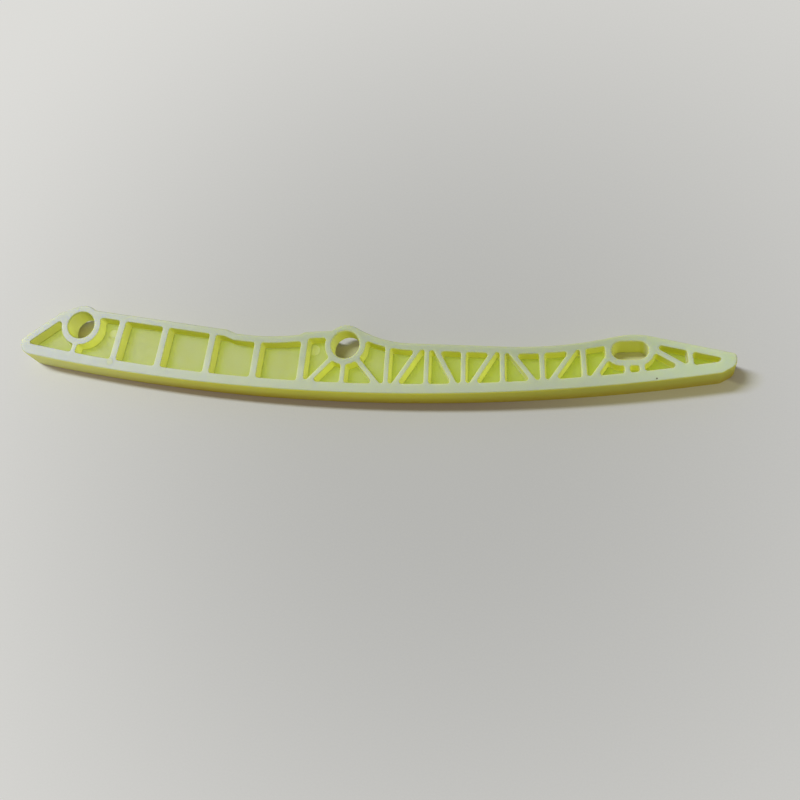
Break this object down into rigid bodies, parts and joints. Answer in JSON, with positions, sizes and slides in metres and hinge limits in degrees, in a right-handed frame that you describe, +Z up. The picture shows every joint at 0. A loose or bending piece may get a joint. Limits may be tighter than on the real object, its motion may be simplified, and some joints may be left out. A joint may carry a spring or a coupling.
{
  "type": "timing chain guide",
  "caption": "Moulded nylon timing chain guide: a long bowed rail with a ribbed truss, bored bosses and a slotted end, lying on its flat side.",
  "frame": {"origin": "middle of the underside's bounding rectangle, on the plane that the flat side rests on", "axes": "+X along the rail from the pivot bore to the slotted end, -Y out of the chain face, +Z up across the rail's width"},
  "size_m": [0.2818, 0.0326, 0.0132],
  "materials": {
    "natural_nylon": "natural translucent nylon with a satin moulded skin"
  },
  "bodies": {
    "root": {"guide_rail": "natural_nylon"}
  },
  "joints": []
}
